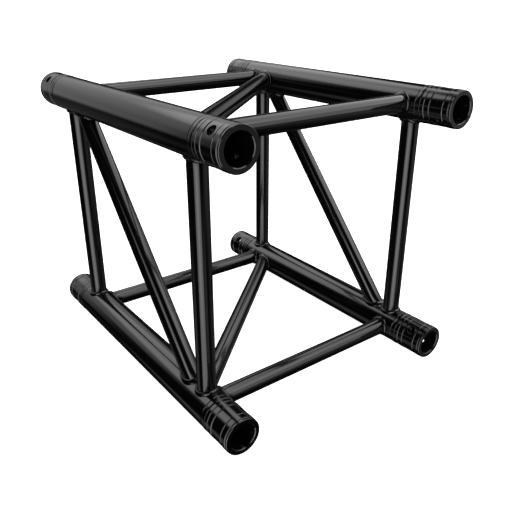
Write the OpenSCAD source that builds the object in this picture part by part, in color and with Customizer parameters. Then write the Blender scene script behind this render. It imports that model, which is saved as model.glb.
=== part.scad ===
// Square lighting truss section: four chord tubes with a conical receiver welded into
// each end, square end frames, and one diagonal brace in each of the four faces.
// X runs along the truss and +X is the front, Y is across it with left at -Y, Z is up.
// The origin is under the middle of the section, on the surface that it stands on.

/* [Truss] */
// Length from end face to end face
truss_len = 500; // [460:10:600]
// Overall width and height across the chord tubes
truss_size = 400; // [360:10:500]
// From an end face to the centreline of the square end frame
end_frame_inset = 80; // [80:1:90]
// From an end face to where a diagonal's centreline meets the chord's centreline
diagonal_inset = 94; // [94:1:110]

/* [Tubes] */
// Outer diameter of the chord tubes
chord_d = 50; // [48:1:52]
// Wall thickness of the chord tubes
chord_wall = 3; // [2.5:0.5:4]
// Outer diameter of the uprights, crossbars and diagonals
brace_d = 25; // [20:1:25]
// Wall thickness of the uprights, crossbars and diagonals
brace_wall = 2; // [1.5:0.5:3]

/* [Receivers] */
// Length of a receiver outside its chord tube
receiver_len = 52.5; // [50:0.5:55]
// Length of the receiver's spigot inside its chord tube
spigot_len = 30; // [20:1:35]
// Radial gap between the spigot and the chord tube
spigot_gap = 0.05; // [0.02:0.01:0.1]
// Diameter of the tapered socket at its mouth
socket_mouth_d = 36; // [34:0.5:38]
// Diameter of the tapered socket at its inner end, and of the straight bore behind it
socket_end_d = 31; // [28:0.5:33]
// Length of the tapered seat
socket_len = 50; // [40:1:52]
// Chamfer at the socket's mouth
mouth_chamfer = 0.9; // [0.3:0.1:1.5]
// Chamfer round the rim of the end face
rim_chamfer = 0.7; // [0.3:0.1:1]
// Diameter of the cross hole for the locking pin
pin_hole_d = 7.5; // [5:0.5:9]
// Diameter of the counterbore at each outer end of the cross hole
counterbore_d = 12; // [10:0.5:14]
// Depth of the counterbores, from the tube's surface
counterbore_depth = 5; // [2:0.5:5]
// From the end face to the cross hole's axis
pin_hole_inset = 22.5; // [21:0.5:24]
// How far the two turned lands stand above the tube's surface
land_rise = 0.3; // [0.1:0.1:0.5]
// Width of the turned V grooves beside the lands
groove_w = 1.6; // [0.8:0.1:2]
// Depth of the turned V grooves
groove_depth = 0.6; // [0.3:0.1:1]

/* [Welds] */
// Width of the weld round the joint of receiver and chord tube
ring_weld_w = 9; // [6:0.5:10]
// How far that weld stands above the tube's surface
ring_weld_rise = 0.4; // [0.1:0.1:0.8]
// Leg of the fillet welds where a brace meets a chord tube
fillet_leg = 3.4; // [2:0.1:3.4]

/* [Hidden] */
// Distance from the section's middle to each chord's axis, and the height of the middle
chord_offset = (truss_size - chord_d) / 2;
middle_z = truss_size / 2 + ring_weld_rise;

chord_r = chord_d / 2;
chord_bore_r = chord_r - chord_wall;
brace_r = brace_d / 2;
land_r = chord_r + land_rise;
spigot_r = chord_bore_r - spigot_gap;

// The weld root: the thin square edge left on the tube's end and on the receiver's shoulder
root_r = chord_bore_r + 0.4;

end_frame_x = truss_len / 2 - end_frame_inset;
diagonal_x = truss_len / 2 - diagonal_inset;
chord_end_x = truss_len / 2 - receiver_len;

// Distances from the end face to the four grooves that bound the two lands
groove_s = [3.5, 12.5, 33, 42];

paint = "#1d1d1f";
paint_turned = "#232325";
paint_weld = "#2a2a2c";

// Facets round a brace weld, and the gap that keeps its flat facets out of the round tubes
bead_steps = 32;
bead_gap = 0.03;

// Chords: name, side along Y, side along Z
CHORDS = [
    ["top_left", -1, 1],
    ["top_right", 1, 1],
    ["bottom_left", -1, -1],
    ["bottom_right", 1, -1],
];

// Ends: name, side along X
ENDS = [["front", 1], ["rear", -1]];

// Faces: name, its end-frame brace, turn about X from the top face, the way its diagonal
// slopes, and the chords at the face's own +Y and -Y sides
FACES = [
    ["top", "crossbar", 0, 1, "right", "left"],
    ["left", "upright", 90, 1, "top", "bottom"],
    ["bottom", "crossbar", 180, -1, "left", "right"],
    ["right", "upright", 270, -1, "bottom", "top"],
];
FACE_TURN = 2;
FACE_SLOPE = 3;

// The two sides of a face: side along the face's own Y, and where its chord's name is
SIDES = [[1, 4], [-1, 5]];

function end_brace_name(face, end) = str(face[1], "_", face[0], "_", end[0]);
function end_weld_name(face, end, side) =
    str("weld_", end_brace_name(face, end), "_", face[side[1]]);

// Puts a shape made along Z, from the section's middle, onto a chord's axis
module on_chord(chord) {
    translate([0, chord[1] * chord_offset, middle_z + chord[2] * chord_offset])
        rotate([0, 90, 0])
            children();
}

// Puts a shape made for the front end onto either end
module at_end(end) {
    mirror([end[1] < 0 ? 1 : 0, 0, 0])
        children();
}

// Puts a shape made in the plane of the top face, with the face's middle at the origin,
// onto any face
module on_face(face) {
    translate([0, 0, middle_z])
        rotate([face[FACE_TURN], 0, 0])
            translate([0, 0, chord_offset])
                children();
}

// Chord tube, with its ends bevelled for the receiver welds
module chord(chord) {
    half = chord_end_x;
    bevel = half - ring_weld_w / 2;
    color(paint)
        on_chord(chord)
            rotate_extrude($fn = 96)
                polygon([
                    [chord_bore_r, -half],
                    [root_r, -half],
                    [chord_r, -bevel],
                    [chord_r, bevel],
                    [root_r, half],
                    [chord_bore_r, half],
                ]);
}

// One V groove of the receiver's outline, between a surface before it and one after it
function groove(s, before_r, after_r) = [
    [before_r, s - groove_w / 2],
    [chord_r - groove_depth, s],
    [after_r, s + groove_w / 2],
];

// The receiver's half section: radius, and distance in from the end face
function receiver_outline() = concat(
    [[chord_r - rim_chamfer, 0], [chord_r, rim_chamfer]],
    groove(groove_s[0], chord_r, land_r),
    groove(groove_s[1], land_r, chord_r),
    groove(groove_s[2], chord_r, land_r),
    groove(groove_s[3], land_r, chord_r),
    [
        [chord_r, receiver_len - ring_weld_w / 2],
        [root_r, receiver_len],
        [spigot_r, receiver_len],
        [spigot_r, receiver_len + spigot_len - rim_chamfer],
        [spigot_r - rim_chamfer, receiver_len + spigot_len],
        [socket_end_d / 2, receiver_len + spigot_len],
        [socket_end_d / 2, socket_len],
        [socket_mouth_d / 2, mouth_chamfer],
        [socket_mouth_d / 2 + mouth_chamfer, 0],
    ]
);

// What is drilled out for the locking pin: a hole through both walls of the socket, with a
// counterbore at each outer end
module cross_hole() {
    cylinder(h = 2 * chord_d, d = pin_hole_d, center = true, $fn = 48);
    for (turn = [0, 180])
        rotate([turn, 0, 0])
            translate([0, 0, chord_r - counterbore_depth])
                cylinder(h = chord_d, d = counterbore_d, $fn = 48);
}

// Receiver: a turned end piece with a tapered socket and a cross hole for the locking pin
module receiver(chord, end) {
    outward = atan2(chord[2], chord[1]);
    color(paint_turned)
        at_end(end)
            translate([truss_len / 2, chord[1] * chord_offset, middle_z + chord[2] * chord_offset])
                difference() {
                    rotate([0, -90, 0])
                        rotate_extrude($fn = 96)
                            polygon(receiver_outline());
                    rotate([outward - 90, 0, 0])
                        translate([-pin_hole_inset, 0, 0])
                            cross_hole();
                }
}

// The crown of a ring weld, from its toe on the receiver to its toe on the tube
function ring_crown(steps) =
    let (half = ring_weld_w / 2, arc_r = (half ^ 2 + ring_weld_rise ^ 2) / (2 * ring_weld_rise))
    [for (i = [0 : steps])
        let (s = half * (2 * i / steps - 1))
        [chord_r + ring_weld_rise - arc_r + sqrt(arc_r ^ 2 - s ^ 2), receiver_len + s]];

// Ring weld that fills the bevels between a chord tube and its receiver
module receiver_weld(chord, end) {
    color(paint_weld)
        at_end(end)
            translate([truss_len / 2, chord[1] * chord_offset, middle_z + chord[2] * chord_offset])
                rotate([0, -90, 0])
                    rotate_extrude($fn = 96)
                        polygon(concat(ring_crown(8), [[root_r, receiver_len]]));
}

// A brace tube in the plane of the top face, between the centrelines of its two chords at
// from_x on the +Y side and to_x on the -Y side, with its ends coped to fit the chords
module brace(from_x, to_x) {
    start = [from_x, chord_offset, 0];
    reach = [to_x - from_x, -2 * chord_offset, 0];
    difference() {
        translate(start)
            rotate([0, 90, atan2(reach.y, reach.x)])
                difference() {
                    cylinder(h = norm(reach), r = brace_r, $fn = 64);
                    translate([0, 0, -1])
                        cylinder(h = norm(reach) + 2, r = brace_r - brace_wall, $fn = 64);
                }
        for (side = [-1, 1])
            translate([0, side * chord_offset, 0])
                rotate([0, 90, 0])
                    cylinder(h = truss_len, r = chord_r, center = true, $fn = 96);
    }
}

// Upright or crossbar of an end frame
module end_brace(face, end) {
    x = end[1] * end_frame_x;
    color(paint)
        on_face(face)
            brace(x, x);
}

// Diagonal of a face, which starts at the rear on the side that its slope gives
module diagonal(face) {
    slope = face[FACE_SLOPE];
    color(paint)
        on_face(face)
            brace(-slope * diagonal_x, slope * diagonal_x);
}

// Height along a leaning brace at which a line beside its axis, at angle phi and distance
// rho from it, comes within dist of the chord's axis
function saddle_height(phi, rho, dist, lean) =
    (sqrt(dist ^ 2 - (rho * sin(phi)) ^ 2) + rho * cos(phi) * sin(lean)) / cos(lean);

// That point, from the chord's axis: X along the chord, Z into the face, Y across the face
function saddle_point(phi, rho, dist, lean) =
    let (t = saddle_height(phi, rho, dist, lean))
    [
        t * sin(lean) + rho * cos(phi) * cos(lean),
        rho * sin(phi),
        t * cos(lean) - rho * cos(phi) * sin(lean),
    ];

// Cross section of a full, rounded fillet weld at angle phi: root, toe on the chord, two points
// of the crown, toe on the brace, each as a distance from the brace's axis and one from the
// chord's axis
function fillet_section(phi, lean) =
    let (
        root_rho = brace_r / cos(180 / bead_steps),
        root_dist = chord_r + bead_gap,
        chord_leg = fillet_leg * (1 - (1 - cos(lean)) * cos(phi) ^ 2)
    )
    [
        [root_rho, root_dist],
        [brace_r + chord_leg, root_dist],
        [brace_r + cos(30) * chord_leg, chord_r + sin(30) * fillet_leg],
        [brace_r + cos(60) * chord_leg, chord_r + sin(60) * fillet_leg],
        [root_rho, chord_r + fillet_leg],
    ];

// Fillet weld round the foot of a brace that leans along the chord by the angle lean
module fillet_weld(lean) {
    n = 5;
    points = [for (i = [0 : bead_steps - 1], p = fillet_section(i * 360 / bead_steps, lean))
        saddle_point(i * 360 / bead_steps, p[0], p[1], lean)];
    faces = [for (i = [0 : bead_steps - 1], j = [0 : n - 1], half = [0, 1])
        let (
            here = i * n,
            next = (i + 1) % bead_steps * n,
            k = (j + 1) % n
        )
        half == 0 ? [here + j, here + k, next + k] : [here + j, next + k, next + j]];
    polyhedron(points, faces);
}

// Puts a weld onto the chord at one side of the top face, with its Z into the face
module at_foot(x, side) {
    translate([x, side * chord_offset, 0])
        rotate([side * 90, 0, 0])
            children();
}

// Weld at one foot of an end-frame brace
module end_weld(face, end, side) {
    color(paint_weld)
        on_face(face)
            at_foot(end[1] * end_frame_x, side[0])
                fillet_weld(0);
}

// Weld at the front or rear foot of a diagonal
module diagonal_weld(face, end) {
    lean = atan(diagonal_x / chord_offset);
    color(paint_weld)
        on_face(face)
            at_foot(end[1] * diagonal_x, -end[1] * face[FACE_SLOPE])
                fillet_weld(-end[1] * lean);
}

for (c = CHORDS)
    chord(c);
for (c = CHORDS, e = ENDS)
    receiver(c, e);
for (c = CHORDS, e = ENDS)
    receiver_weld(c, e);
for (f = FACES, e = ENDS)
    end_brace(f, e);
for (f = FACES)
    diagonal(f);
for (f = FACES, e = ENDS, s = SIDES)
    end_weld(f, e, s);
for (f = FACES, e = ENDS)
    diagonal_weld(f, e);
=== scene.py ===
"""A black lighting truss section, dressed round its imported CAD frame.

Every piece is rebuilt as a finer mesh in the place of its CAD node: the tubes with coped ends,
the turned receivers with rounded edges, and the weld beads with their ripples.
"""
import math

import bmesh
import bpy
import numpy as np
from mathutils import Matrix, Vector


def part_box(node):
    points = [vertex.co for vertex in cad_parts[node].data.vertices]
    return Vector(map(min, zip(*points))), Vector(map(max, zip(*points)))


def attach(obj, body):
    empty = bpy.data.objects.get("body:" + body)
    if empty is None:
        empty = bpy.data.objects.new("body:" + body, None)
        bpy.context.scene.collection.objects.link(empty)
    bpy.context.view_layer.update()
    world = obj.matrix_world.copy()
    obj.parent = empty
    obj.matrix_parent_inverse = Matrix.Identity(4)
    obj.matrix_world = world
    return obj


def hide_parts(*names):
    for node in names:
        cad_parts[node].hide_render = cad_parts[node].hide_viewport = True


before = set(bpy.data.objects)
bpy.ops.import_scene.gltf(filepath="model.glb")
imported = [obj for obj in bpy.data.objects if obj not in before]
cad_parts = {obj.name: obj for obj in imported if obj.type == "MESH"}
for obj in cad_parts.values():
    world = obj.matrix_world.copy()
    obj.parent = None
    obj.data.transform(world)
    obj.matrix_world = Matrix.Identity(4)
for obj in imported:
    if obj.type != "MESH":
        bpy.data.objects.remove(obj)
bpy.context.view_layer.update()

MM = 0.001

# ---------------------------------------------------------------- driving sizes, in mm
low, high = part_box("chord_top_left")
CHORD_R = (high.z - low.z) / 2 / MM
CHORD_END = high.x / MM
OFFSET = -(low.y + high.y) / 2 / MM  # from the section's middle to a chord's axis, both ways
MIDDLE_Z = (low.z + high.z) / 2 / MM - OFFSET
low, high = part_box("receiver_top_left_front")
TRUSS_END = high.x / MM
low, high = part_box("upright_left_front")
BRACE_R = (high.x - low.x) / 2 / MM
FRAME_X = (high.x + low.x) / 2 / MM
DIAGONAL_X = 156.0  # where the diagonals' axes meet the chords' axes

CHORD_WALL = 3
BRACE_WALL = 2
CHORD_BORE = CHORD_R - CHORD_WALL
BRACE_BORE = BRACE_R - BRACE_WALL
FOOT_GAP = 0.02  # between a coped foot and its chord

# receivers: s runs from the mouth of the socket into the truss
RECEIVER = TRUSS_END - CHORD_END
SPIGOT_LEN = 30
SPIGOT_R = CHORD_BORE - 0.05
SOCKET_MOUTH = 18.0
SOCKET_END = 15.5
SOCKET_LEN = 50.0
MOUTH_BREAK = 0.9  # the chamfer inside the mouth
NOSE_BREAK = 0.7  # the chamfer outside it
HOLE_S = 22.5
HOLE_R = 3.75
HOLE_RIM = 0.2
COUNTERBORE_R = 6.0
COUNTERBORE_RIM = 0.4
COUNTERBORE_DEPTH = 5.0
LAND_R = CHORD_R + 0.3
GROOVE_HALF = 0.8
GROOVE_R = CHORD_R - 0.75
# each groove: s, the radius before it and the radius after it
GROOVES = [
    (3.5, CHORD_R, LAND_R),
    (12.5, LAND_R, CHORD_R),
    (33.0, CHORD_R, LAND_R),
    (42.0, LAND_R, CHORD_R),
]

# welds
ROOT_R = CHORD_BORE + 0.4
WELD_HALF = 4.5
BEAD_HALF = WELD_HALF - 0.35
RING_RISE = 0.4
RING_SUNK = 0.42
RING_RIPPLES = 46
RING_RIPPLE = 0.045  # the height of a ripple
RING_LUMP = 0.04  # the height of the slow waves
RING_BEND = 2.2  # how far a ripple trails at the edges of the bead, in radians of its phase
FILLET_LEG = 3.4
FILLET_SUNK = 0.15
FILLET_FULL = 0.97  # this and the next two are shares of the leg
FILLET_RIPPLE = 0.04
FILLET_LUMP = 0.03
FILLET_RIPPLES = 30
FILLET_BEND = 1.6
FILLET_DRIFT = 2.1  # how unevenly the ripples are spaced, in radians of their phase
FILLET_INNER = 0.6  # where the hidden inner side starts, as a share of the leg

# points round each kind of piece
CHORD_COLUMNS = 160
RECEIVER_COLUMNS = 128
RING_COLUMNS = 368
BRACE_COLUMNS = 96
FILLET_COLUMNS = 288

# chord: its side of the section in Y and in Z
CHORDS = {
    "top_left": (-1, 1),
    "top_right": (1, 1),
    "bottom_left": (-1, -1),
    "bottom_right": (1, -1),
}
ENDS = {"front": 1, "rear": -1}
# face: brace word, turn about X from the top face, slope of its diagonal, and the chords where a
# brace starts and stops
FACES = {
    "top": ("crossbar", 0, 1, "right", "left"),
    "left": ("upright", 90, 1, "top", "bottom"),
    "bottom": ("crossbar", 180, -1, "left", "right"),
    "right": ("upright", 270, -1, "bottom", "top"),
}


# ---------------------------------------------------------------- node helpers
def add(tree, kind, inputs=(), **settings):
    """A node with its settings, and its inputs linked or set."""
    n = tree.nodes.new(kind)
    for key, value in settings.items():
        setattr(n, key, value)
    for key, value in dict(inputs).items():
        if isinstance(value, bpy.types.NodeSocket):
            tree.links.new(value, n.inputs[key])
        else:
            n.inputs[key].default_value = value
    return n


def calc(tree, operation, *values):
    """The result of a Math node."""
    return add(tree, "ShaderNodeMath", enumerate(values), operation=operation).outputs[0]


def noise(tree, place, scale, detail, roughness):
    """Noise from 0 to 1 over the object. The scale is about how many spots there are in a metre."""
    inputs = {"Vector": place, "Scale": scale, "Detail": detail, "Roughness": roughness}
    return add(tree, "ShaderNodeTexNoise", inputs).outputs["Fac"]


def ramp(tree, value, stops):
    """Grey levels by value, from (value, level) stops."""
    n = add(tree, "ShaderNodeValToRGB", {"Fac": value})
    while len(n.color_ramp.elements) < len(stops):
        n.color_ramp.elements.new(0.5)
    for e, (at, level) in zip(n.color_ramp.elements, stops):
        e.position = at
        e.color = (level, level, level, 1)
    return n.outputs["Color"]


def bump(tree, height, strength, distance, under=None):
    """The normal of a height that rises by distance, in m, on top of the normal under it."""
    inputs = {"Height": height, "Strength": strength, "Distance": distance}
    if under is not None:
        inputs["Normal"] = under
    return add(tree, "ShaderNodeBump", inputs).outputs["Normal"]


# ---------------------------------------------------------------- materials
PAINTED_EDGE_HIGHLIGHT = (0.045, 0.045, 0.047, 1)  # painted highlight: a lighter grey laid on sharp edges for the light they catch


def black_paint(name, colour, rough, rough_spread, peel, turned=0.0, painted_edge_highlight=0.0):
    """Satin black powder coat: a fine orange peel, patches of slightly different gloss, a trace of
    dust-dull film, turning marks under the paint where turned, and a painted highlight of
    lighter grey on sharp edges where asked for."""
    m = bpy.data.materials.new(name)
    m.use_nodes = True
    t = m.node_tree
    s = t.nodes["Principled BSDF"]
    place = add(t, "ShaderNodeTexCoord").outputs["Object"]

    patches = noise(t, place, 9.0, 4.0, 0.55)
    film = noise(t, place, 70.0, 5.0, 0.65)
    gloss = add(t, "ShaderNodeMapRange", {
        "Value": calc(t, "ADD", patches, film), "From Min": 0.7, "From Max": 1.3,
        "To Min": rough - rough_spread, "To Max": rough + rough_spread,
    })
    t.links.new(gloss.outputs["Result"], s.inputs["Roughness"])

    tone = ramp(t, film, [(0.3, 0.75), (0.7, 1.25)])
    base = add(t, "ShaderNodeMix", {"Factor": 1.0, "A": (*colour, 1), "B": tone},
               data_type="RGBA", blend_type="MULTIPLY")
    shade = base.outputs["Result"]
    # painted highlight: sharp edges, found by pointiness and broken up by the film noise, are mixed
    # towards a lighter grey for the light they catch
    if painted_edge_highlight:
        edges = add(t, "ShaderNodeNewGeometry").outputs["Pointiness"]
        highlight_edges = ramp(t, edges, [(0.52, 0.0), (0.60, 1.0)])
        broken = ramp(t, film, [(0.46, 0.0), (0.62, 1.0)])
        amount = calc(t, "MULTIPLY", calc(t, "MULTIPLY", highlight_edges, broken), painted_edge_highlight)
        highlighted = add(t, "ShaderNodeMix", {"Factor": amount, "A": shade, "B": PAINTED_EDGE_HIGHLIGHT},
                   data_type="RGBA")
        shade = highlighted.outputs["Result"]
    t.links.new(shade, s.inputs["Base Color"])

    grain = noise(t, place, 900.0, 2.0, 0.5)
    swell = noise(t, place, 160.0, 1.0, 0.5)
    normal = bump(t, swell, peel, 0.00008, bump(t, grain, peel, 0.00004))
    if turned:
        along = add(t, "ShaderNodeSeparateXYZ", {"Vector": place}).outputs["X"]
        lines = add(t, "ShaderNodeTexNoise", {"W": along, "Scale": 2600.0, "Detail": 2.0},
                    noise_dimensions="1D").outputs["Fac"]
        normal = bump(t, lines, turned, 0.00002, normal)
    t.links.new(normal, s.inputs["Normal"])
    return m


# the receivers and welds carry a painted highlight of lighter grey on their sharp edges, set by
# their last argument
PAINT = {
    "tube_paint": black_paint(
        "tube_paint", (0.0012, 0.0012, 0.0013), 0.125, 0.025, 0.08),
    "receiver_paint": black_paint(
        "receiver_paint", (0.0014, 0.0014, 0.0015), 0.12, 0.025, 0.08, turned=0.10, painted_edge_highlight=0.3),
    "weld_paint": black_paint(
        "weld_paint", (0.0014, 0.0014, 0.0015), 0.16, 0.03, 0.15, painted_edge_highlight=0.2),
}
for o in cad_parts.values():
    o.data.materials.clear()
    o.data.materials.append(PAINT["tube_paint"])


# ---------------------------------------------------------------- mesh helpers
def piece(name, points, faces, slot):
    """A smooth closed mesh from points in mm, which stands for the CAD node of the same name."""
    mesh = bpy.data.meshes.new(name)
    mesh.from_pydata([tuple(p) for p in np.asarray(points) * MM], [], faces)
    bm = bmesh.new()
    bm.from_mesh(mesh)
    bmesh.ops.recalc_face_normals(bm, faces=bm.faces)
    bm.to_mesh(mesh)
    bm.free()
    mesh.polygons.foreach_set("use_smooth", [True] * len(mesh.polygons))
    # normals weighted by face area, so flats stay flat beside their small rounded edges
    normals = np.zeros((len(mesh.vertices), 3))
    for p in mesh.polygons:
        n = np.array(p.normal) * p.area
        for v in p.vertices:
            normals[v] += n
    lengths = np.linalg.norm(normals, axis=1)
    normals /= np.maximum(lengths, 1e-30)[:, None]
    mesh.normals_split_custom_set_from_vertices([tuple(n) for n in normals])
    mesh.materials.append(PAINT[slot])
    o = bpy.data.objects.new("visual_" + name, mesh)
    bpy.context.scene.collection.objects.link(o)
    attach(o, "root")
    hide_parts(name)


def angle_between(a, b):
    cosine = float(a @ b) / (np.linalg.norm(a) * np.linalg.norm(b))
    return math.acos(max(-1, min(1, cosine)))


def rounded(outline, steps=4):
    """A closed outline of (s, r, radius) corners, with each corner rounded to its radius."""
    out = []
    n = len(outline)
    for i in range(n):
        p = np.array(outline[i][:2], float)
        radius = outline[i][2]
        a = np.array(outline[i - 1][:2], float) - p
        b = np.array(outline[(i + 1) % n][:2], float) - p
        la, lb = np.linalg.norm(a), np.linalg.norm(b)
        a, b = a / la, b / lb
        half = angle_between(a, b) / 2
        cut = min(radius / math.tan(half), 0.45 * la, 0.45 * lb)
        r = cut * math.tan(half)
        centre = p + (a + b) / np.linalg.norm(a + b) * (r / math.sin(half))
        start, end = p + a * cut - centre, p + b * cut - centre
        angle = angle_between(start, end)
        for k in range(steps + 1):
            f = k / steps
            swing = math.sin((1 - f) * angle) * start + math.sin(f * angle) * end
            out.append(centre + swing / max(math.sin(angle), 1e-9))
    return out


def turns_round(columns):
    """The angles of so many columns round an axis."""
    return np.arange(columns) * 2 * math.pi / columns


def ring_faces(rows, columns):
    """Quads of a grid that closes both ways, of rows round the columns."""
    faces = []
    for i in range(rows):
        a, b = i * columns, (i + 1) % rows * columns
        for j in range(columns):
            k = (j + 1) % columns
            faces.append((a + j, a + k, b + k, b + j))
    return faces


def lathe_points(outline, columns, origin, axes, wave=None):
    """Rows of points round an axis from an outline of (s, r). wave(s, r, turn) adds to r."""
    inward, up, across = axes
    turn = turns_round(columns)
    points = []
    for s, r in outline:
        radius = np.full(columns, float(r)) if wave is None else r + wave(s, r, turn)
        points.append(origin + np.outer(np.full(columns, s), inward)
                      + np.outer(radius * np.cos(turn), up)
                      + np.outer(radius * np.sin(turn), across))
    return np.concatenate(points)


# ---------------------------------------------------------------- chord tubes
def chord_origin(chord):
    side, level = CHORDS[chord]
    return np.array([0.0, side * OFFSET, MIDDLE_Z + level * OFFSET])


def chord_tube(chord):
    half = CHORD_END
    toe = half - WELD_HALF
    outline = rounded([
        (-half, CHORD_BORE, 0.2), (-half, ROOT_R, 0.1), (-toe, CHORD_R, 0.9),
        (toe, CHORD_R, 0.9), (half, ROOT_R, 0.1), (half, CHORD_BORE, 0.2),
    ])
    points = lathe_points(outline, CHORD_COLUMNS, chord_origin(chord), np.eye(3))
    piece("chord_" + chord, points, ring_faces(len(outline), CHORD_COLUMNS), "tube_paint")


# ---------------------------------------------------------------- receivers
RIM_STEPS = 5
PATCH = 8  # half the width of the patch round a cross hole, in columns and in rows
PATCH_REACH = 9.0  # the same along the receiver, in mm
PATCH_PITCH = PATCH_REACH / PATCH
MID_WALL_R = 20  # between the bore and the outside


def mouth(chord, end):
    """The middle of a socket's mouth."""
    return chord_origin(chord) + np.array([ENDS[end] * TRUSS_END, 0, 0])


def end_axes(chord, end):
    """(inward along the truss, outward through the corner, across), for one end of a chord."""
    side, level = CHORDS[chord]
    inward = np.array([-float(ENDS[end]), 0, 0])
    outward = np.array([0, side, level]) / math.sqrt(2)
    return inward, outward, np.cross(inward, outward)


def taper_r(s):
    """The radius of the tapered socket."""
    return SOCKET_MOUTH + (SOCKET_END - SOCKET_MOUTH) * s / SOCKET_LEN


def splice(rows, new, outside):
    """The outline with the new rows let into its straight stretch on the outside or in the bore,
    and where they start. The outside runs inwards, and the bore runs back to the mouth."""
    for i in range(len(rows)):
        (s0, r0), (s1, r1) = rows[i], rows[(i + 1) % len(rows)]
        if outside and s0 < new[0] and s1 > new[-1] and min(r0, r1) > MID_WALL_R:
            middle = [(s, CHORD_R) for s in new]
            return rows[:i + 1] + middle + rows[i + 1:], i + 1
        if not outside and s0 > new[-1] and s1 < new[0] and max(r0, r1) < MID_WALL_R:
            middle = [(s, r0 + (r1 - r0) * (s - s0) / (s1 - s0)) for s in reversed(new)]
            return rows[:i + 1] + middle + rows[i + 1:], i + 1
    raise ValueError("no straight stretch for the patch")


def receiver_outline():
    """Outline from the socket's mouth round the outside to the spigot and back along the bore,
    and where the rows of the two patches start in it."""
    corners = [(0.0, SOCKET_MOUTH + MOUTH_BREAK, 0.25), (0.0, CHORD_R - NOSE_BREAK, 0.3),
               (NOSE_BREAK, CHORD_R, 0.3)]
    for s, before, after in GROOVES:
        corners += [(s - GROOVE_HALF, before, 0.22), (s, GROOVE_R, 0.18),
                    (s + GROOVE_HALF, after, 0.22)]
    end = RECEIVER + SPIGOT_LEN
    corners += [
        (RECEIVER - WELD_HALF, CHORD_R, 0.9), (RECEIVER, ROOT_R, 0.1), (RECEIVER, SPIGOT_R, 0.1),
        (end, SPIGOT_R, 0.6), (end, SOCKET_END, 0.5), (SOCKET_LEN, SOCKET_END, 2.0),
        (MOUTH_BREAK, SOCKET_MOUTH, 0.3),
    ]
    rows = [tuple(p) for p in rounded(corners)]
    patch = [HOLE_S + (i - PATCH) * PATCH_PITCH for i in range(2 * PATCH + 1)]
    rows, outer_at = splice(rows, patch, True)
    rows, inner_at = splice(rows, patch, False)
    return rows, outer_at, inner_at


def square_loop():
    """(row, column) offsets round the edge of a patch, in order."""
    n = PATCH
    return ([(-n, j) for j in range(-n, n)] + [(i, n) for i in range(-n, n)]
            + [(n, j) for j in range(n, -n, -1)] + [(i, -n) for i in range(n, -n, -1)])


RECEIVER_ROWS, OUTER_AT, INNER_AT = receiver_outline()
LOOP = square_loop()
LOOP_TURNS = np.array([math.atan2(j, i) for i, j in LOOP])


def receiver(chord, end):
    """A turned end piece with a cross hole, counterbored from both outer sides."""
    rows = RECEIVER_ROWS
    columns = RECEIVER_COLUMNS
    inward, outward, across = end_axes(chord, end)
    origin = mouth(chord, end)
    points = list(lathe_points(rows, columns, origin, (inward, outward, across)))

    def index(row, column):
        return row * columns + column % columns

    def row_of(offset, outside):
        return OUTER_AT + PATCH + offset if outside else INNER_AT + PATCH - offset

    skipped = set()
    for first in (OUTER_AT, INNER_AT):
        for centre in (0, columns // 2):
            for i in range(2 * PATCH):
                for j in range(-PATCH, PATCH):
                    skipped.add((first + i, (centre + j) % columns))
    faces = []
    for i in range(len(rows)):
        for j in range(columns):
            if (i, j) not in skipped:
                k = (i + 1) % len(rows)
                faces.append((index(i, j), index(i, j + 1), index(k, j + 1), index(k, j)))

    def height(outside, u, v):
        r = CHORD_R if outside else taper_r(HOLE_S + u)
        return math.sqrt(max(r * r - v * v, 0.01))

    for sign in (1, -1):
        centre = 0 if sign > 0 else columns // 2

        def place(u, v, z):
            """A new point, at u along, v across and z out from where the hole's axis crosses."""
            points.append(origin + inward * (HOLE_S + u) + sign * (outward * z + across * v))
            return len(points) - 1

        def circle(radius, height_at):
            ring = []
            for a in LOOP_TURNS:
                x, y = radius * math.cos(a), radius * math.sin(a)
                ring.append(place(x, y, height_at(x, y)))
            return ring

        def opening(outside, radius, rim):
            """Rings from the patch's edge to an opening's wall, over an edge rounded by rim."""
            out = [[index(row_of(i, outside), centre + j) for i, j in LOOP]]
            border = []
            for i, j in LOOP:
                r = rows[row_of(i, outside)][1]
                border.append((i * PATCH_PITCH, r * math.sin(j * 2 * math.pi / columns)))
            r0 = radius + rim
            for f in (0.3, 0.55, 0.75, 0.9, 1.0):
                ring = []
                for (u, v), a in zip(border, LOOP_TURNS):
                    x = u + (r0 * math.cos(a) - u) * f
                    y = v + (r0 * math.sin(a) - v) * f
                    ring.append(place(x, y, height(outside, x, y)))
                out.append(ring)
            way = -1 if outside else 1
            for q in range(1, RIM_STEPS + 1):
                b = q / RIM_STEPS * math.pi / 2
                sink = way * rim * (1 - math.cos(b))
                out.append(circle(r0 - rim * math.sin(b),
                                  lambda x, y: height(outside, x, y) + sink))
            return out

        shelf = CHORD_R - COUNTERBORE_DEPTH
        chain = opening(True, COUNTERBORE_R, COUNTERBORE_RIM)
        for radius, z in (
            (COUNTERBORE_R, shelf + 0.3),
            (COUNTERBORE_R - 0.1, shelf + 0.08),
            (COUNTERBORE_R - 0.3, shelf),
            (HOLE_R + 0.25, shelf),
            (HOLE_R + 0.07, shelf - 0.07),
            (HOLE_R, shelf - 0.25),
        ):
            chain.append(circle(radius, lambda x, y: z))
        chain += opening(False, HOLE_R, HOLE_RIM)[::-1]
        for a, b in zip(chain[:-1], chain[1:]):
            for k in range(len(LOOP)):
                n = (k + 1) % len(LOOP)
                faces.append((a[k], a[n], b[n], b[k]))
    piece(f"receiver_{chord}_{end}", np.array(points), faces, "receiver_paint")


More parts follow.
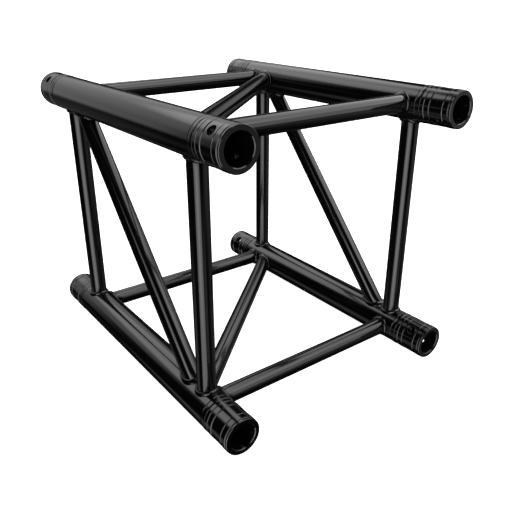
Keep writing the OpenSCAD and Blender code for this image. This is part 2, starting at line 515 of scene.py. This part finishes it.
# ---------------------------------------------------------------- ring welds
def ring_weld(chord, end, seed):
    """A bead that fills the groove between a receiver and its chord, with even fine ripples."""
    crown_steps = 18
    bead = []
    for i in range(crown_steps + 1):
        f = 2 * i / crown_steps - 1
        h = (1 - abs(f) ** 3.2) ** 0.6
        bead.append((RECEIVER + BEAD_HALF * f, CHORD_R - RING_SUNK + (RING_RISE + RING_SUNK) * h))
    bead.append((RECEIVER, ROOT_R + 0.02))
    lumps = np.random.default_rng(seed).uniform(-1, 1, 7)

    def wave(s, r, turn):
        if r < CHORD_R - 0.5:
            return 0.0
        f = (s - RECEIVER) / BEAD_HALF
        lift = max(0.0, 1 - abs(f) ** 4)
        ripple = np.abs(np.sin((turn * RING_RIPPLES + RING_BEND * f * f) / 2))
        slow = sum(lumps[k] * np.sin((k + 2) * turn + lumps[-1 - k] * 3) for k in range(6)) / 6
        # a little low on the whole, so that the crests stay at about the bead's rise
        return lift * (RING_RIPPLE * (ripple - 0.9) + RING_LUMP * (slow - 0.4))

    points = lathe_points(bead, RING_COLUMNS, mouth(chord, end), end_axes(chord, end), wave)
    piece(f"weld_receiver_{chord}_{end}", points, ring_faces(len(bead), RING_COLUMNS),
          "weld_paint")


# ---------------------------------------------------------------- braces and fillet welds
def foot(face, x, side):
    """4x4 from a brace's foot to the frame: X along the chord, Z towards the face's middle."""
    turn = math.radians(FACES[face][1])
    to_face = Matrix.Translation((0, 0, MIDDLE_Z)) @ Matrix.Rotation(turn, 4, "X")
    to_foot = Matrix.Translation((x, side * OFFSET, OFFSET))
    return np.array(to_face @ to_foot @ Matrix.Rotation(math.radians(90 * side), 4, "X"))


def saddle_height(phi, rho, dist, lean):
    """How far along a brace, from its chord's axis, the line at phi and rho round the brace's
    axis comes within dist of the chord's axis."""
    reach = np.sqrt(dist ** 2 - (rho * np.sin(phi)) ** 2)
    return (reach + rho * np.cos(phi) * math.sin(lean)) / math.cos(lean)


def beside(phi, rho, t, lean):
    """Points at phi and rho round a leaning brace's axis, and t along it."""
    return np.stack([
        t * math.sin(lean) + rho * np.cos(phi) * math.cos(lean),
        rho * np.sin(phi),
        t * math.cos(lean) - rho * np.cos(phi) * math.sin(lean),
    ], axis=-1)


def placed(points, m):
    return points @ m[:3, :3].T + m[:3, 3]


def brace(name, face, from_x, to_x):
    """A tube across a face from one chord to the other, coped to both."""
    lean = math.atan((to_x - from_x) / (2 * OFFSET))
    length = 2 * OFFSET / math.cos(lean)
    phi = turns_round(BRACE_COLUMNS)

    def row(rho, f):
        start = saddle_height(phi, rho, CHORD_R, lean) + FOOT_GAP
        stop = length - saddle_height(math.pi - phi, rho, CHORD_R, lean) - FOOT_GAP
        return beside(phi, rho, start + (stop - start) * f, lean)

    rows = [row(BRACE_R, f) for f in (0, 0.04, 0.3, 0.7, 0.96, 1)]
    rows += [row(BRACE_BORE, f) for f in (1, 0.96, 0.04, 0)]
    points = placed(np.concatenate(rows), foot(face, from_x, 1))
    piece(name, points, ring_faces(len(rows), BRACE_COLUMNS), "tube_paint")


def fillet_weld(name, face, x, side, lean, seed):
    """A full, rounded bead round a brace's foot, with crescent ripples where the welder paused."""
    leg = FILLET_LEG
    steps = 14
    phi = turns_round(FILLET_COLUMNS)
    chord_leg = leg * (1 - (1 - math.cos(lean)) * np.cos(phi) ** 2)
    lumps = np.random.default_rng(seed).uniform(-1, 1, 9)
    slow = sum(lumps[k] * np.sin((k + 2) * phi + 4 * lumps[8 - k]) for k in range(5)) / 5
    rows = []
    for i in range(steps + 1):
        a = math.radians(4 + 82 * i / steps)
        f = 2 * i / steps - 1
        phase = phi * FILLET_RIPPLES + FILLET_BEND * f * f + FILLET_DRIFT * slow
        ripple = np.abs(np.sin(phase / 2)) - 0.75
        bulge = FILLET_FULL + (1 - f ** 4) * (FILLET_RIPPLE * ripple + FILLET_LUMP * slow)
        rho = BRACE_R + bulge * chord_leg * math.cos(a) ** 0.85
        dist = CHORD_R + bulge * leg * math.sin(a) ** 0.85
        rows.append((rho, dist))
    inner_rho = np.full(FILLET_COLUMNS, BRACE_R - FILLET_SUNK)
    inner_dist = np.full(FILLET_COLUMNS, CHORD_R - FILLET_SUNK)
    rows.append((inner_rho, CHORD_R + FILLET_INNER * leg))
    rows.append((inner_rho, inner_dist))
    rows.append((BRACE_R + FILLET_INNER * chord_leg, inner_dist))
    points = np.concatenate([
        beside(phi, rho, saddle_height(phi, rho, dist, lean), lean) for rho, dist in rows])
    piece(name, placed(points, foot(face, x, side)), ring_faces(len(rows), FILLET_COLUMNS),
          "weld_paint")


# ---------------------------------------------------------------- the section
seed = 0
for chord in CHORDS:
    chord_tube(chord)
    for end in ENDS:
        seed += 1
        receiver(chord, end)
        ring_weld(chord, end, seed)
for face, (word, _, slope, plus, minus) in FACES.items():
    for end, way in ENDS.items():
        x = way * FRAME_X
        brace(f"{word}_{face}_{end}", face, x, x)
        for side, chord in ((1, plus), (-1, minus)):
            seed += 1
            fillet_weld(f"weld_{word}_{face}_{end}_{chord}", face, x, side, 0.0, seed)
        seed += 1
        lean = -way * math.atan(DIAGONAL_X / OFFSET)
        fillet_weld(f"weld_diagonal_{face}_{end}", face, way * DIAGONAL_X, -way * slope, lean,
                    seed)
    brace(f"diagonal_{face}", face, -slope * DIAGONAL_X, slope * DIAGONAL_X)


# ---------------------------------------------------------------- floor
FLOOR = 100  # half its width, in m
floor_mesh = bpy.data.meshes.new("floor")
floor_mesh.from_pydata(
    [(-FLOOR, -FLOOR, 0), (FLOOR, -FLOOR, 0), (FLOOR, FLOOR, 0), (-FLOOR, FLOOR, 0)],
    [], [(0, 1, 2, 3)])
floor = bpy.data.objects.new("floor", floor_mesh)
bpy.context.scene.collection.objects.link(floor)
pale = bpy.data.materials.new("floor")
pale.use_nodes = True
p = pale.node_tree.nodes["Principled BSDF"]
p.inputs["Base Color"].default_value = (0.8, 0.8, 0.8, 1)
p.inputs["Roughness"].default_value = 0.9
p.inputs["Emission Color"].default_value = (1, 1, 1, 1)
p.inputs["Emission Strength"].default_value = 1.0
floor_mesh.materials.append(pale)
floor.visible_glossy = False
floor.visible_diffuse = False
floor.visible_shadow = False


# ---------------------------------------------------------------- studio light
# Soft panels far off, each (azimuth, half width, edge, lowest, edge, highest, edge, radiance):
# azimuth from +X towards +Y and height above the horizon in degrees. An edge is the width over
# which the light fades out, and a panel whose highest is ZENITH or more reaches over the top.
ZENITH = 90
PANELS = [
    (70, 58, 10, 30, 10, 95, 5, 2.3),
    (38, 17, 8, 34, 8, 52, 8, 1.0),
    (80, 60, 20, 62, 8, 120, 5, 1.3),
    (36, 17, 8, 0, 10, 30, 8, 1.65),
    (85, 30, 10, 16, 12, 34, 8, 1.6),
    (90, 38, 10, -2, 14, 18, 10, 0.4),
    (181, 38, 8, 30, 8, 53, 6, 2.0),
    (205, 14, 14, 32, 10, 56, 8, 0.6),
    (154, 12, 12, 42, 10, 58, 8, 0.4),
    (180, 38, 10, 14, 10, 32, 8, 0.8),
    (202, 11, 10, -6, 10, 14, 8, 0.6),
    (316, 27, 8, -60, 6, 28, 10, 2.6),
    (315, 10, 6, -30, 10, -6, 10, 1.3),
    (293, 12, 5, 14, 8, 38, 6, 2.1),
    (44, 22, 12, -21, 10, -5, 6, 0.26),
    (85, 38, 20, -38, 16, -2, 8, 0.13),
    (5, 13, 10, -45, 10, -22, 10, 0.4),
    (228, 18, 14, -48, 12, -26, 10, 0.3),
    (184, 20, 12, -27, 8, -8, 8, 0.055),
]
FILL = 0.006  # the dim room between the panels

world = bpy.data.worlds.new("studio")
bpy.context.scene.world = world
world.use_nodes = True
sky = world.node_tree
background = sky.nodes["Background"]
direction = add(sky, "ShaderNodeTexCoord").outputs["Generated"]
towards = add(sky, "ShaderNodeSeparateXYZ", {"Vector": direction}).outputs
azimuth = calc(sky, "ARCTAN2", towards["Y"], towards["X"])
elevation = calc(sky, "ARCSINE", towards["Z"])


def fade(value, start, stop):
    """0 before start and 1 after stop, in degrees, or the other way if start is the larger."""
    rising = start < stop
    n = add(sky, "ShaderNodeMapRange", {
        "Value": value,
        "From Min": math.radians(min(start, stop)), "From Max": math.radians(max(start, stop)),
        "To Min": 0.0 if rising else 1.0, "To Max": 1.0 if rising else 0.0,
    }, interpolation_type="SMOOTHSTEP")
    return n.outputs["Result"]


total = FILL
for centre, half, side_edge, lowest, low_edge, highest, high_edge, radiance in PANELS:
    away = calc(sky, "SUBTRACT", azimuth, math.radians(centre))
    away = calc(sky, "ABSOLUTE", calc(sky, "WRAP", away, math.pi, -math.pi))
    lit = fade(away, half + side_edge / 2, half - side_edge / 2)
    rise = fade(elevation, lowest - low_edge / 2, lowest + low_edge / 2)
    lit = calc(sky, "MULTIPLY", lit, rise)
    if highest < ZENITH:
        fall = fade(elevation, highest + high_edge / 2, highest - high_edge / 2)
        lit = calc(sky, "MULTIPLY", lit, fall)
    total = calc(sky, "MULTIPLY_ADD", lit, radiance, total)
seen = add(sky, "ShaderNodeLightPath").outputs["Is Camera Ray"]
strength = add(sky, "ShaderNodeMix", {"Factor": seen, "A": total, "B": 1.0}, data_type="FLOAT")
sky.links.new(strength.outputs["Result"], background.inputs["Strength"])
background.inputs["Color"].default_value = (1, 1, 1, 1)
world.cycles.sampling_method = "MANUAL"
world.cycles.sample_map_resolution = 1024


# ---------------------------------------------------------------- camera
CAMERA_AT = (0.70412, -0.49652, 0.51214)
CAMERA_TURN = math.radians(53.075)  # about Z, from looking along +Y
CAMERA_TILT = math.radians(24.108)  # below the horizon
lens = bpy.data.cameras.new("camera")
camera = bpy.data.objects.new("camera", lens)
bpy.context.scene.collection.objects.link(camera)
camera.location = CAMERA_AT
back = Vector((math.sin(CAMERA_TURN) * math.cos(CAMERA_TILT),
               -math.cos(CAMERA_TURN) * math.cos(CAMERA_TILT), math.sin(CAMERA_TILT)))
camera.rotation_euler = back.to_track_quat("Z", "Y").to_euler()
lens.lens = 41.34
lens.sensor_width = 36
lens.shift_x = -0.00087
lens.shift_y = 0.0011
bpy.context.scene.camera = camera
bpy.context.scene.view_settings.view_transform = "Standard"
